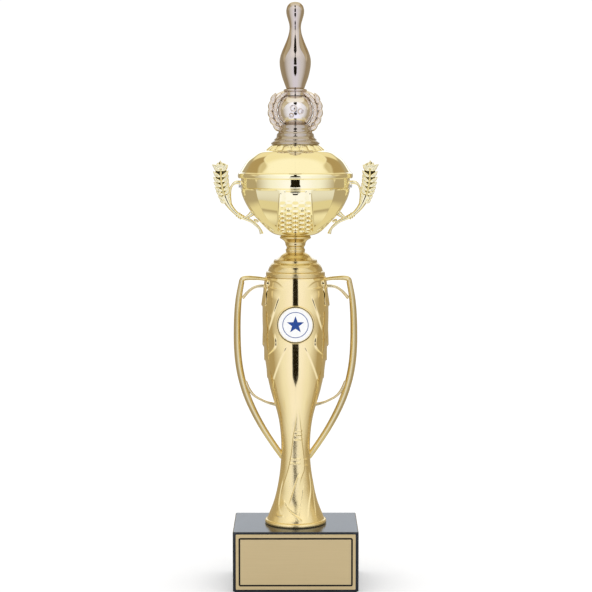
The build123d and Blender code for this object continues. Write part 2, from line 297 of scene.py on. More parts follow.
def gloss(tree, shader, source, low, high):
    """Lets the roughness follow the source between two values."""
    tree.links.new(value_range(tree, source, low, high), shader.inputs["Roughness"])


def bump(tree, shader, source, strength, distance):
    """Bump on the shader's normal; distance is the height in metres."""
    made = node(tree, "ShaderNodeBump", Strength=strength, Distance=distance)
    tree.links.new(source, made.inputs["Height"])
    tree.links.new(made.outputs["Normal"], shader.inputs["Normal"])


# Heights in metres between which the column's duller foot fades out.
DULL_LOW, DULL_TOP = 0.116, 0.138


def plated(name, light, deep, roughness, dull_foot=0.0):
    """Lacquered vacuum plating: tone drifts slightly, with fine haze and a faint moulded ripple.

    dull_foot is added to the roughness below DULL_LOW and fades out up to DULL_TOP.
    """
    material, tree, shader = new_material(name, Metallic=1.0, Coat_Weight=0.25, Coat_Roughness=0.03)
    tint(tree, shader, noise(tree, 28, 2.0), [(0.30, deep), (0.70, light)])
    haze = noise(tree, 900, 4.0, 0.6)
    dullness = value_range(tree, haze, roughness * 0.6, roughness * 1.5)
    if dull_foot:
        place = node(tree, "ShaderNodeSeparateXYZ")
        tree.links.new(coordinates(tree), place.inputs["Vector"])
        fade = node(
            tree, "ShaderNodeMapRange",
            From_Min=DULL_LOW, From_Max=DULL_TOP, To_Min=dull_foot, To_Max=0.0,
        )
        tree.links.new(place.outputs["Z"], fade.inputs["Value"])
        both = node(tree, "ShaderNodeMath", operation="ADD")
        tree.links.new(dullness, both.inputs[0])
        tree.links.new(fade.outputs["Result"], both.inputs[1])
        dullness = both.outputs["Value"]
    tree.links.new(dullness, shader.inputs["Roughness"])
    bump(tree, shader, noise(tree, 160, 2.0), 0.05, 0.0002)
    return material


column_gold = plated("column_gold", (0.91, 0.74, 0.37), (0.88, 0.70, 0.33), 0.09, dull_foot=0.17)
# Painted shade: the shoulder cap and cup stem get the column's gold darkened, for the shade they sit in
# under the bowl.
collar_gold_painted_shade = plated("collar_gold_painted_shade", (0.76, 0.60, 0.28), (0.72, 0.56, 0.25), 0.17)
strap_gold = plated("strap_gold", (0.80, 0.69, 0.42), (0.76, 0.64, 0.37), 0.14)
cup_gold = plated("cup_gold", (0.96, 0.87, 0.55), (0.94, 0.84, 0.50), 0.035)
leaf_gold = plated("leaf_gold", (0.93, 0.84, 0.52), (0.89, 0.79, 0.46), 0.12)
figure_nickel = plated("figure_nickel", (0.62, 0.53, 0.43), (0.58, 0.49, 0.40), 0.07)
# Painted shade: the pedestal gets the figure's nickel darkened, for the shade under the ball above it.
pedestal_nickel_painted_shade = plated("pedestal_nickel_painted_shade", (0.50, 0.43, 0.35), (0.46, 0.39, 0.31), 0.10)
# Painted light: the ball gets the figure's nickel lightened, for the brighter light that falls on it.
ball_nickel_painted_light = plated("ball_nickel_painted_light", (0.84, 0.77, 0.69), (0.80, 0.73, 0.65), 0.09)
wreath_nickel = plated("wreath_nickel", (0.82, 0.72, 0.58), (0.78, 0.68, 0.54), 0.13)


def polished_marble():
    """Black stone with a faint grain, thin grey veins and a soft polish."""
    material, tree, shader = new_material("polished_black_marble", IOR=1.55)
    cloud = noise(tree, 22, 6.0, 0.6)
    warp = node(tree, "ShaderNodeTexWave", Scale=9.0, Distortion=14.0, Detail=4.0)
    tree.links.new(coordinates(tree), warp.inputs["Vector"])
    stone = ramp(tree, cloud, [(0.35, (0.008, 0.012, 0.017)), (0.75, (0.020, 0.027, 0.036))])
    veins = ramp(tree, warp.outputs["Fac"], [(0.955, (0, 0, 0)), (1.0, (0.022, 0.024, 0.027))])
    mix = node(tree, "ShaderNodeMix", data_type="RGBA", blend_type="ADD")
    mix.inputs["Factor"].default_value = 0.6
    tree.links.new(stone, mix.inputs[6])
    tree.links.new(veins, mix.inputs[7])
    tree.links.new(mix.outputs[2], shader.inputs["Base Color"])
    gloss(tree, shader, noise(tree, 2600, 3.0), 0.16, 0.24)
    bump(tree, shader, cloud, 0.02, 0.0002)
    return material


def zinc():
    """Zinc-plated steel hardware."""
    material, tree, shader = new_material("zinc_plated_steel", Metallic=1.0)
    spangle = noise(tree, 500, 4.0)
    tint(tree, shader, spangle, [(0.3, (0.50, 0.51, 0.53)), (0.7, (0.66, 0.66, 0.66))])
    gloss(tree, shader, spangle, 0.22, 0.42)
    bump(tree, shader, noise(tree, 1500, 2.0), 0.15, 0.00005)
    return material


def brushed_plate():
    """Sublimated brass plate: short horizontal brushing under a satin lacquer."""
    material, tree, shader = new_material("brushed_plate", Metallic=0.15)
    stretch = node(tree, "ShaderNodeMapping")
    stretch.inputs["Scale"].default_value = (40, 40, 5200)
    tree.links.new(coordinates(tree), stretch.inputs["Vector"])
    lines = node(tree, "ShaderNodeTexNoise", Scale=1.0, Detail=4.0, Roughness=0.7)
    tree.links.new(stretch.outputs["Vector"], lines.inputs["Vector"])
    brushing = lines.outputs["Fac"]
    tint(tree, shader, brushing, [(0.25, (0.545, 0.425, 0.222)), (0.75, (0.600, 0.470, 0.250))])
    gloss(tree, shader, brushing, 0.38, 0.50)
    bump(tree, shader, brushing, 0.08, 0.00003)
    return material


def mottle(tree, shader, colour, darkest, scale):
    """Gives the surface a colour with faint blotches, which fall to the darkest share of it."""
    low = tuple(c * darkest for c in colour)
    tint(tree, shader, noise(tree, scale, 3.0), [(0.3, low), (0.7, colour)])


def ink(name, colour):
    """Screen-printed ink with a trace of mottle."""
    material, tree, shader = new_material(name, Specular_IOR_Level=0.2)
    mottle(tree, shader, colour, 0.8, 900)
    gloss(tree, shader, noise(tree, 1800, 2.0), 0.35, 0.5)
    return material


def glossy_print(name, colour):
    """Smooth printed plastic under a clear dome."""
    material, tree, shader = new_material(name, Coat_Weight=0.5)
    mottle(tree, shader, colour, 0.97, 300)
    gloss(tree, shader, noise(tree, 700, 2.0), 0.12, 0.22)
    return material


def felt():
    """Short-napped black felt."""
    material, tree, shader = new_material("black_felt", Roughness=0.95, Sheen_Weight=0.3)
    fibres = noise(tree, 4200, 6.0, 0.75)
    tint(tree, shader, fibres, [(0.3, (0.010, 0.011, 0.012)), (0.75, (0.045, 0.047, 0.050))])
    bump(tree, shader, fibres, 0.6, 0.0003)
    return material


def foam_tape():
    """Closed-cell white adhesive foam."""
    material, tree, shader = new_material("foam_tape", Roughness=0.8)
    cells = noise(tree, 2500, 3.0)
    tint(tree, shader, cells, [(0.3, (0.62, 0.62, 0.60)), (0.7, (0.78, 0.78, 0.76))])
    bump(tree, shader, cells, 0.3, 0.0001)
    return material


marble = polished_marble()
steel = zinc()
plate_metal = brushed_plate()
black_ink = ink("black_ink", (0.006, 0.004, 0.002))
blue_ink = ink("blue_ink", (0.020, 0.075, 0.330))
disc_white = glossy_print("disc_white", (0.985, 0.985, 0.985))
felt_cloth = felt()
tape_foam = foam_tape()


def dress(node_name, material):
    """Gives a CAD node that keeps its own shape a better material."""
    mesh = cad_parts[node_name].data
    mesh.materials.clear()
    mesh.materials.append(material)


for name in (
    "tie_rod", "base_washer", "base_nut", "bowl_washer", "bowl_nut", "handle_screws",
    "lid_washer", "lid_nut", "figure_rod",
):
    dress(name, steel)
dress("marble_base", marble)
dress("nameplate", plate_metal)
dress("nameplate_tape", tape_foam)
dress("medallion_disc", disc_white)
dress("medallion_bezel", column_gold)


# ---- the column
column_low, column_high = levels_of("column_front")
COLUMN_OUTLINE = [
    (21.6, column_low), (16.9, 61.0), (13.1, 76.4), (11.2, 92.0), (11.0, 110.0), (13.4, 128.3),
    (18.6, 146.5), (22.0, 164.7), (24.1, 184.0), (24.7, 201.0), (24.1, 222.0), (22.9, column_high),
]
COLUMN_WALL = 2.0
column_curve = spline(COLUMN_OUTLINE, 20)


def column_radius(height):
    """The column's plain radius at a height."""
    return np.interp(height, column_curve[:, 1], column_curve[:, 0])


# Relief strokes as (degrees from the front, height) points. Each has the width of its
# crease, its height, and how far the raised side reaches: 0 for a plain ridge.
UPPER_STROKES = [
    ([(61, 229.0), (40, 230.2), (18, 224.8)], 0.7, 0.45, -6.0),
    ([(61, 225.6), (40, 224.6), (18, 224.8)], 0.6, 0.30, 0),
    ([(27, 221.5), (34, 213.2), (44, 202.0), (57, 190.0)], 0.7, 0.75, 7.0),
    ([(70, 213.4), (57, 208.0), (44, 202.0)], 0.6, 0.60, -5.0),
    ([(40, 193.0), (36, 184.0), (47, 178.0), (64, 173.5)], 0.8, 0.95, 8.0),
    ([(12, 185.5), (30, 171.0), (51, 155.5), (64, 146.0)], 0.7, 0.60, 6.0),
    ([(68, 184.0), (57, 165.0), (49, 155.6), (47, 140.0), (54, 118.0), (58, 100.0)], 0.7, 0.70, -4.0),
]
LOWER_STROKES = [
    ([(1.5, 141.0), (0, 123.0), (-7, 115.4), (-17, 99.8), (-38, 80.6), (-52, 69.3)], 0.6, 0.75, 5.5),
    (
        [(1.5, 141.0), (16, 123.8), (23, 112.0), (33, 98.0), (35, 91.0), (19, 82.0), (9, 71.0)],
        0.6, 0.40, -4.5,
    ),
    ([(11, 86.0), (-2, 76.7), (-20, 61.0)], 0.6, 0.95, 5.5),
    ([(-38, 67.0), (-20, 60.3), (7, 53.3), (15, 51.0)], 0.5, 0.80, -5.0),
    ([(58, 90.0), (57, 77.0), (40, 64.9), (24, 50.0)], 0.7, 0.55, 5.0),
    ([(70, 82.0), (64, 71.4), (46, 50.0)], 0.6, 0.45, 4.0),
    ([(-48, 82.0), (-52, 68.1), (-26, 54.4)], 0.6, 0.45, -4.0),
    ([(-26, 54.4), (-36, 54.0), (-52, 55.0)], 0.5, 0.35, 0),
    ([(-72, 88.0), (-66, 72.0), (-74, 54.0)], 0.6, 0.45, 4.0),
    ([(28, 78.0), (20, 70.0), (12, 60.0), (8, 54.0)], 0.5, 0.35, 3.0),
]
# Short level ribs: degrees where each starts and ends, and its height.
RIBS = [
    (-2, 22, 117.8), (-2, 23, 114.7), (-4, 24, 111.2), (-21, 18, 96.2), (-23, 17, 93.0),
    (34, 54, 95.6), (36, 56, 91.2),
]
RIB_RISE, RIB_WIDTH = 0.45, 0.55
# Overlapping scales down each seam: top, pointed lower end and height over the column.
SIDE_SCALES = [(221.0, 210.6, 1.0), (193.0, 180.6, 1.0), (178.0, 169.4, 0.9), (163.0, 156.0, 0.6)]
SCALE_HALF_WIDTH = 8.5
# A groove with an eyelet above it runs beside each seam, this far round from it.
GROOVE_OFFSET, GROOVE_LOW, GROOVE_HIGH, GROOVE_DEPTH = 12.2, 212.0, 227.0, 1.8
EYELET_LEVEL, EYELET_HALF_WIDTH, EYELET_HALF_HEIGHT, EYELET_DEPTH = 228.4, 1.3, 1.9, 1.9
STROKE_TAPER = 0.22


def stroke_relief(across, height, radius, route, width, rise, reach):
    """Height of one crease: a thin ridge, or an edge whose raised side falls away over reach."""
    line = spline(route, 6)
    degrees, level = line[:, 0], line[:, 1]
    best = np.full(across.shape, 1e9)
    side = np.zeros(across.shape)
    place = np.zeros(across.shape)
    for i in range(len(line) - 1):
        ax = radius * np.radians(across - degrees[i])
        az = height - level[i]
        bx = radius * math.radians(degrees[i + 1] - degrees[i])
        bz = level[i + 1] - level[i]
        share = np.clip((ax * bx + az * bz) / (bx * bx + bz * bz), 0, 1)
        gap = np.hypot(ax - share * bx, az - share * bz)
        nearer = gap < best
        best = np.where(nearer, gap, best)
        side = np.where(nearer, np.sign(bx * az - bz * ax), side)
        place = np.where(nearer, (i + share) / (len(line) - 1), place)
    taper = np.clip(between(place, 0, 1) / STROKE_TAPER, 0, 1)
    rise = rise * taper * taper * (3 - 2 * taper)
    if reach == 0:
        return rise * bell(best, width)
    signed = best * side * math.copysign(1, reach)
    edge = soft_step(signed, 0.22 * width)
    return rise * edge * np.exp(-np.maximum(signed, 0) / abs(reach))


def column_relief(angle, height):
    """Relief over the plain column, in millimetres, for angles in degrees from the front."""
    across = (angle + 180) % 360 - 180
    across = np.where(np.abs(across) > 90, np.sign(across) * 180 - across, across)
    radius = column_radius(height)
    total = np.zeros(across.shape)
    for route, width, rise, reach in UPPER_STROKES:
        total += stroke_relief(np.abs(across), height, radius, route, width, rise, reach)
    for route, width, rise, reach in LOWER_STROKES:
        total += stroke_relief(across, height, radius, route, width, rise, reach)
    for left, right, level in RIBS:
        ends = np.clip(between(across, left, right) * radius * math.pi / 180, -1, 1)
        total += RIB_RISE * bell(height - level, RIB_WIDTH) * soft_step(ends, 0.2)
    to_seam = (90 - np.abs(across)) * radius * math.pi / 180
    for top, bottom, rise in SIDE_SCALES:
        ramp_down = np.clip((top - height) / (top - bottom), 0, 1.2)
        lower_edge = soft_step(height - bottom - 0.45 * to_seam, 0.18)
        crown = np.sqrt(np.clip(1 - (to_seam / SCALE_HALF_WIDTH) ** 2, 0, 1))
        total += rise * ramp_down * lower_edge * crown
    groove_ends = soft_step(np.clip(between(height, GROOVE_LOW, GROOVE_HIGH), -1, 1), 0.2)
    total -= GROOVE_DEPTH * bell(to_seam - GROOVE_OFFSET, 0.75, 4) * groove_ends
    eyelet = np.hypot(
        (to_seam - GROOVE_OFFSET) / EYELET_HALF_WIDTH, (height - EYELET_LEVEL) / EYELET_HALF_HEIGHT
    )
    total += 0.4 * bell(eyelet - 1.45, 0.25) - EYELET_DEPTH * soft_step(1 - eyelet, 0.08)
    fade = np.clip(between(height, column_low, column_high) / 1.5, 0, 1)
    return total * fade


def bridge(shape, first, second):
    """Triangles between two rows of vertex numbers that hold different counts."""
    i = j = 0
    last_i, last_j = len(first) - 1, len(second) - 1
    while i < last_i or j < last_j:
        next_first = (i + 1) / last_i if i < last_i else 2
        next_second = (j + 1) / last_j if j < last_j else 2
        if next_first <= next_second:
            shape.faces.append((first[i], first[i + 1], second[j]))
            i += 1
        else:
            shape.faces.append((first[i], second[j + 1], second[j]))
            j += 1


def column_half(start, rows=430, columns=200, inner_rows=24, inner_columns=16):
    """Half of the hollow column with its relief, from angle start over half a turn."""
    shape = Shape()

    def add_surface(row_count, column_count, inset, with_relief):
        angle, height = np.meshgrid(
            np.linspace(start, start + 180, column_count),
            np.linspace(column_low, column_high, row_count),
        )
        radius = column_radius(height) - inset
        if with_relief:
            radius = radius + column_relief(angle, height)
        first = shape.grid(turned_surface(radius, np.radians(angle), height))
        return first + np.arange(angle.size).reshape(angle.shape)

    outer = add_surface(rows, columns, 0, True)
    inner = add_surface(inner_rows, inner_columns, COLUMN_WALL, False)
    for border in ((0, slice(None)), (-1, slice(None)), (slice(None), 0), (slice(None), -1)):
        bridge(shape, outer[border].tolist(), inner[border].tolist())
    return shape


disc_low, disc_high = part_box("medallion_disc")
seat_face = disc_high.y / MM
disc_face = disc_low.y / MM
disc_centre = (disc_low.z + disc_high.z) / 2 / MM


def front_disc(profile, segments=128):
    """A turned shape about the medallion's own axis; profile is (radius, y) points."""
    profile = np.array(profile, float)
    angles = np.linspace(0, 2 * math.pi, segments, endpoint=False)
    radius, depth = profile[:, :1], profile[:, 1:]
    return tube(np.stack(
        [radius * np.cos(angles), depth + 0 * angles, disc_centre + radius * np.sin(angles)], axis=-1
    ))


BOSS_RADIUS = 14.2
BOSS_BACK = seat_face + 7.0
boss = front_disc(rounded([
    (0, seat_face), (BOSS_RADIUS, seat_face), (BOSS_RADIUS + 0.4, BOSS_BACK), (0, BOSS_BACK),
], 0.4))
piece("column_front_relief", joined(column_half(-90), boss), column_gold, TROPHY, ["column_front"])
piece("column_rear_relief", column_half(90), column_gold, TROPHY, ["column_rear"])


# ---- turned parts under and over the column
foot_low, _ = levels_of("column_foot")
turned_piece(
    "column_foot_ring",
    [
        (3.3, foot_low), (22.9, foot_low), (23.2, foot_low + 0.6), (23.2, foot_low + 1.8),
        (22.8, foot_low + 2.8), (21.8, column_low), (19.2, column_low), (18.0, column_low + 2.4),
        (16.2, column_low + 2.4), (16.2, foot_low + 2.0), (3.3, foot_low + 2.0), (3.3, foot_low),
    ],
    0.5, column_gold, TROPHY, "column_foot",
)

_, cap_top = levels_of("shoulder_cap")
turned_piece(
    "shoulder_cap_turned",
    [
        (3.3, cap_top), (3.3, cap_top - 2.4), (12.5, cap_top - 2.4), (17.0, 238.4), (18.6, 235.4),
        (18.6, 229.3), (20.6, 229.3), (20.6, column_high), (22.0, column_high), (22.1, 235.0),
        (21.6, 236.3), (20.4, 236.6), (20.2, 237.8), (19.8, 238.9), (19.2, 240.2), (18.0, 241.9),
        (16.4, 243.2), (16.2, 243.9), (16.1, cap_top), (3.3, cap_top),
    ],
    0.45, collar_gold_painted_shade, TROPHY, "shoulder_cap",
)

stem_low, stem_high = levels_of("cup_stem")
piece(
    "cup_stem_turned",
    lathe(np.vstack([
        [(3.3, stem_high), (3.3, stem_low), (14.7, stem_low)],
        spline([
            (14.8, stem_low + 0.2), (12.3, 246.8), (8.9, 249.8), (7.0, 251.2), (7.3, 252.4),
            (6.5, 254.2), (7.3, 256.0), (7.6, 257.4), (9.0, 259.6), (10.8, 260.7),
        ], 8),
        rounded([(10.9, 260.7), (11.7, 261.5), (11.6, 262.3), (10.7, stem_high), (3.3, stem_high)], 0.4),
    ])),
    collar_gold_painted_shade, TROPHY, ["cup_stem"],
)


# ---- tall column handles
STRAP_ROUTE = [
    (40.2, 228.6), (42.3, 217.0), (43.4, 204.0), (43.7, 188.0), (43.1, 173.0), (41.2, 159.5),
    (38.0, 147.2), (32.2, 132.6), (22.4, 114.6), (14.0, 102.0), (9.8, 96.0),
]
TOP_BAR = [(20.5, 230.0), (26.0, 231.0), (32.0, 231.4), (37.2, 231.3), (39.6, 230.4), (40.5, 227.6)]
UPPER_BRANCH = [(20.8, 225.2), (27.9, 225.2), (31.5, 224.0), (34.7, 221.7), (39.6, 216.2)]
LOWER_BRANCH = [
    (13.6, 135.7), (18.7, 136.8), (22.5, 138.0), (26.3, 139.8), (30.1, 142.0), (33.9, 146.0), (37.6, 153.6),
]
ROOF_HALF = [
    (1.0, 0.0), (0.98, 0.22), (0.80, 0.50), (0.45, 0.80), (0.12, 0.97), (0.0, 1.0), (-0.12, 0.95),
    (-0.45, 0.72), (-0.82, 0.42), (-0.98, 0.18), (-1.0, 0.0),
]
ROOF_SECTION = ROOF_HALF + [(x, -y) for x, y in reversed(ROOF_HALF[1:-1])]
ROUND_SECTION = [(math.cos(a), math.sin(a)) for a in np.linspace(0, 2 * math.pi, 16, endpoint=False)]
strap_depth = (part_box("column_handle_right")[1].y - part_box("column_handle_right")[0].y) / 2 / MM


def strap_handle():
    """The right-hand strap with its bar, braces and small joint pads."""
    strap = sweep(
        spline(STRAP_ROUTE, 14), ROOF_SECTION,
        [2.1, 2.5, 2.7, 2.7, 2.6, 2.3, 2.2], [2.6, strap_depth, strap_depth, 3.2, 2.6],
    )
    bar = sweep(spline(TOP_BAR, 12), ROOF_SECTION, [1.2, 1.4, 1.7, 1.9, 2.0], [2.0, 2.2, 2.6, 2.6])
    upper = sweep(spline(UPPER_BRANCH, 12), ROUND_SECTION, [1.3, 1.0, 1.0, 1.2], [1.6, 1.4, 1.4, 1.8])
    lower = sweep(spline(LOWER_BRANCH, 10), ROUND_SECTION, [1.3, 0.9, 0.9, 1.2], [1.6, 1.3, 1.3, 1.8])
    return joined(strap, bar, upper, lower)


piece_pair("column_handle", "strap", strap_handle(), strap_gold, TROPHY)


# ---- the bowl
bowl_low, bowl_high = levels_of("bowl")
BOWL_OUTLINE = [
    (11.0, bowl_low), (16.0, 264.4), (23.0, 269.9), (28.5, 275.6), (33.4, 281.3), (36.8, 286.9),
    (39.4, 292.7), (40.8, 298.0),
]
PANEL_HALF_TOP, PANEL_HALF_BOTTOM = 11.3, 13.4
CELL_ACROSS, CELL_ALONG, CELL_RADIUS, CELL_DEPTH = 4.55, 4.65, 2.45, 0.55
EIGHTH = math.pi / 4


def bowl_swell(angles, heights, along):
    """How far the pressed bowl stands from its round outline, by angle in radians and height."""
    radius = np.interp(heights, bowl_curve[:, 1], bowl_curve[:, 0])
    quarter = (angles + EIGHTH) % (math.pi / 2) - EIGHTH
    share = np.clip((298.0 - heights) / 30.0, 0, 1)
    half = PANEL_HALF_TOP + (PANEL_HALF_BOTTOM - PANEL_HALF_TOP) * share
    border = np.arcsin(np.clip(half / radius, 0, math.sin(EIGHTH)))
    middle = (border + EIGHTH) / 2
    spread = (EIGHTH - border) / 2
    off = np.abs(quarter) - middle
    chord = radius * (np.cos(spread) / np.cos(np.clip(off, -spread, spread)) - 1)
    outside = np.abs(quarter) > border
    facet = np.where(outside, chord, 0)
    to_border = (border - np.abs(quarter)) * radius
    rim = 0.35 * bell(to_border - 0.5, 0.45)
    u = quarter * radius / CELL_ACROSS
    v = along / CELL_ALONG
    nearest = np.full(u.shape, 9.0)
    for step in (-1, 0, 1):
        column = np.round(u) + step
        shift = 0.5 * (column % 2)
        row = np.round(v - shift) + shift
        gap = np.hypot((u - column) * CELL_ACROSS, (v - row) * CELL_ALONG)
        nearest = np.minimum(nearest, gap)
    deeper = 0.95 * np.clip((290.5 - heights) / 6, 0, 1) + 1.1 * np.clip((283 - heights) / 6, 0, 1)
    cell = -CELL_DEPTH * (0.25 + deeper) * np.clip(1 - (nearest / CELL_RADIUS) ** 2, 0, 1)
    inside = soft_step(to_border - 1.2, 0.12)
    ends = np.clip(between(heights, 266.5, 296.3) / 0.8, 0, 1)
    fade = np.clip(between(heights, bowl_low + 1.5, 298.6), 0, 1)
    slot = -0.8 * bell(heights - 297.1, 0.35) * soft_step(7.4 - np.abs(quarter) * radius, 0.25)
    return (facet + rim * ends + cell * inside * ends + slot) * fade


bowl_curve = spline(BOWL_OUTLINE, 16)


def panelled_bowl(segments=640):
    """The bowl: pressed outside, plain band and rim, smooth inside."""
    outside = spline(BOWL_OUTLINE, 15)
    along = np.concatenate([[0], np.cumsum(np.linalg.norm(np.diff(outside, axis=0), axis=1))])
    band = rounded([
        (40.6, 298.5), (39.9, 298.8), (40.5, 299.2), (40.5, bowl_high), (39.3, bowl_high), (39.3, 298.2),
    ], 0.25, 3)
    inside = spline([
        (39.3, 298.0), (38.2, 292.6), (35.7, 287.2), (32.4, 281.9), (27.7, 276.5), (22.3, 270.9),
        (15.6, 265.5), (10.4, bowl_low + 1.1),
    ], 2)
    floor = [(10.0, bowl_low + 1.1), (3.3, bowl_low + 1.1), (3.3, bowl_low), (10.8, bowl_low)]
    angles = np.linspace(0, 2 * math.pi, segments, endpoint=False)
    profile = np.vstack([outside, band, inside, floor, outside[:1]])
    radius = profile[:, :1] + 0 * angles
    radius[:len(outside)] += bowl_swell(angles[None, :], outside[:, 1:], along[:, None])
    return tube(turned_surface(radius, angles, profile[:, 1:]))


piece("bowl_panelled", panelled_bowl(), cup_gold, TROPHY, ["bowl"], sharp=50)


# ---- the lid
lid_low, lid_high = levels_of("lid")
FLUTES, FLUTE_DEPTH = 18, 1.6


def lid_swell(angles, heights):
    """Flutes of the ring that carries the figure."""
    on_ring = np.clip((heights - 326.2) / 0.5, 0, 1) * np.clip((lid_high - 0.1 - heights) / 0.5, 0, 1)
    return -FLUTE_DEPTH * on_ring * (1 - np.abs(np.cos(FLUTES * angles / 2)) ** 0.8)


lid_profile = np.vstack([
    [(37.7, lid_low), (38.9, lid_low), (38.9, bowl_high), (41.9, bowl_high)],
    rounded([(42.0, bowl_high), (42.7, 306.5), (42.8, 308.0), (42.5, 309.4), (41.6, 310.1)], 0.4),
    spline([
        (41.3, 310.2), (40.1, 312.0), (38.2, 315.0), (35.0, 319.6), (30.8, 323.4), (27.2, 325.4),
        (24.6, 326.0),
    ], 10),
    [(23.6, 326.1), (22.9, 326.1)],
    rounded([(22.6, 326.2), (21.8, 327.1), (19.9, 328.8), (17.9, lid_high - 0.1), (17.2, lid_high)], 0.6),
    [(2.7, lid_high), (2.7, lid_high - 1.2), (16.8, lid_high - 1.2)],
    [(19.4, 326.2), (19.4, 325.2), (23.4, 325.2)],
    spline([(23.6, 325.2), (29.0, 322.6), (33.5, 318.8), (36.5, 314.8), (37.7, 309.0)], 4),
    [(37.7, lid_low)],
])
piece("lid_domed", lathe(lid_profile, 384, lid_swell), cup_gold, LID, ["lid"])


# ---- leaves and laurel handles
def leaf(base, tip, width, thickness, front, lean=0.0):
    """A closed pointed leaf in the XZ plane from base to tip; front is its middle y."""
    base, tip = np.array(base, float), np.array(tip, float)
    length = np.linalg.norm(tip - base)
    along = (tip - base) / length
    across = np.array([along[1], -along[0]])
    rows, columns = 13, 11
    t, s = np.meshgrid(np.linspace(0, 1, rows), np.linspace(-1, 1, columns), indexing="ij")
    half = width / 2 * np.sin(math.pi * t**0.75) ** 0.8 + 0.02
    bend = lean * length * np.sin(math.pi * t)
    x = base[0] + along[0] * t * length + across[0] * (s * half + bend)
    z = base[1] + along[1] * t * length + across[1] * (s * half + bend)
    crown = np.clip(1 - s**2, 0, 1) ** 0.6 * np.sin(math.pi * np.clip(t, 0.02, 0.98)) ** 0.5
    crease = 0.25 * bell(s, 0.18)
    shape = Shape()
    for side in (-1, 1):
        y = front + side * thickness * (crown - crease * crown)
        shape.grid(np.stack([x, y, z], axis=-1))
    return shape


def upright(loop, y):
    """A loop of (x, z) points as 3-D points that all have the same y."""
    return np.column_stack([loop[:, 0], np.full(len(loop), y), loop[:, 1]])


def plate_shape(outline, thickness, front):
    """A flat plate with eased edges, from an outline of (x, z) points."""
    outline = np.array(outline, float)
    inward = outline.mean(0) - outline
    inward /= np.linalg.norm(inward, axis=1)[:, None]
    return tube([
        upright(outline + inward * inset * thickness, front + depth * thickness)
        for inset, depth in ((0.48, -1.0), (0.0, -0.6), (0.0, 0.6), (0.48, 1.0))
    ], closed=True)


CUP_STEM_ROUTE = [
    (52.4, 293.0), (49.6, 286.6), (46.4, 282.2), (41.9, 278.2), (37.5, 276.0), (33.4, 274.2), (29.0, 270.8),
    (26.3, 267.6), (25.2, 264.4),
]
CUP_ARM_ROUTE = [(47.9, 283.0), (48.8, 290.0), (48.6, 296.0), (47.0, 300.6), (44.3, 302.6), (40.9, 302.5)]
# Stem, arm and two short curled twigs: route, steps to a span, half widths and half depths.
CUP_BARS = [
    (CUP_STEM_ROUTE, 10, [3.2, 2.3, 1.7, 1.4, 1.3, 1.1, 0.9, 1.4], [2.2, 2.2, 1.9, 1.7, 1.5, 1.3, 1.1, 1.6]),
    (CUP_ARM_ROUTE, 10, [1.4, 1.2, 0.9, 0.8, 1.3, 1.5], [1.8, 1.6, 1.3, 1.2, 1.7, 1.9]),
    ([(36.6, 276.6), (34.4, 278.0), (32.4, 279.6)], 8, [1.2, 1.5, 2.1], [1.7, 1.7, 2.0]),
    ([(31.0, 274.4), (29.4, 274.2), (27.6, 273.2)], 8, [1.3, 1.1, 0.7], [1.4, 1.3, 1.0]),
]
SPINE = [(51.2, 287.0), (52.6, 292.0), (54.0, 297.5), (55.0, 303.0), (55.4, 310.5), (55.7, 318.8)]
BACKING = [
    (50.4, 286.2), (54.0, 290.2), (57.0, 295.4), (58.6, 301.0), (59.4, 307.0), (59.4, 314.0),
    (56.4, 318.2), (51.6, 316.4), (50.9, 308.0), (50.8, 301.0), (50.2, 295.0), (49.2, 290.0),
]
# Outer and inner leaflet of each pair, from the bottom up.
LEAFLET_LENGTHS = [
    (5.0, 5.0), (5.8, 6.0), (6.4, 6.8), (6.8, 7.2), (7.0, 7.4), (7.0, 7.4), (7.0, 7.2), (7.0, 6.8),
]


def laurel_handle():
    """The right-hand cup handle: stem, arm, curled end and a two-rowed laurel spray."""
    parts = [
        sweep(spline(route, steps), ROUND_SECTION, widths, depths)
        for route, steps, widths, depths in CUP_BARS
    ]
    parts.append(plate_shape(BACKING, 0.9, 0.0))
    for x, z in ((42.6, 278.7), (41.2, 277.6), (39.8, 276.8)):
        bead = [(x - 0.45, z - 0.5), (x, z), (x + 0.45, z + 0.5)]
        parts.append(sweep(bead, ROUND_SECTION, [1.9, 2.3, 1.9], [2.2, 2.6, 2.2]))
    spine = spline(SPINE, 10)
    parts.append(
        sweep(spine, ROUND_SECTION, [1.3, 1.1, 0.9, 0.8, 0.7, 0.5], [1.8, 2.2, 2.2, 2.0, 1.8, 1.0])
    )
    tangent = np.gradient(spine, axis=0)
    tangent /= np.linalg.norm(tangent, axis=1)[:, None]
    for i, (outer, inner) in enumerate(LEAFLET_LENGTHS):
        place = int(2 + i * 5.6)
        root, way = spine[place], tangent[place]
        out = np.array([way[1], -way[0]])
        for side, length in ((1, outer), (-1, inner)):
            tip = root + way * length * 0.66 + out * side * length * 0.80
            for front in (-1.2, 1.2):
                parts.append(leaf(root + out * side * 0.4, tip, 2.8, 0.8, front, 0.10 * side))
    top = spine[-8]
    for reach_x, reach_z, width in ((6.6, 3.0, 3.0), (2.6, 4.4, 3.2), (-1.6, 4.4, 3.2), (-5.2, 2.6, 3.0)):
        for front in (-1.1, 1.1):
            parts.append(leaf(top, top + (reach_x, reach_z), width, 0.85, front, 0.05))
    return joined(*parts)


piece_pair("cup_handle", "laurel", laurel_handle(), leaf_gold, TROPHY)


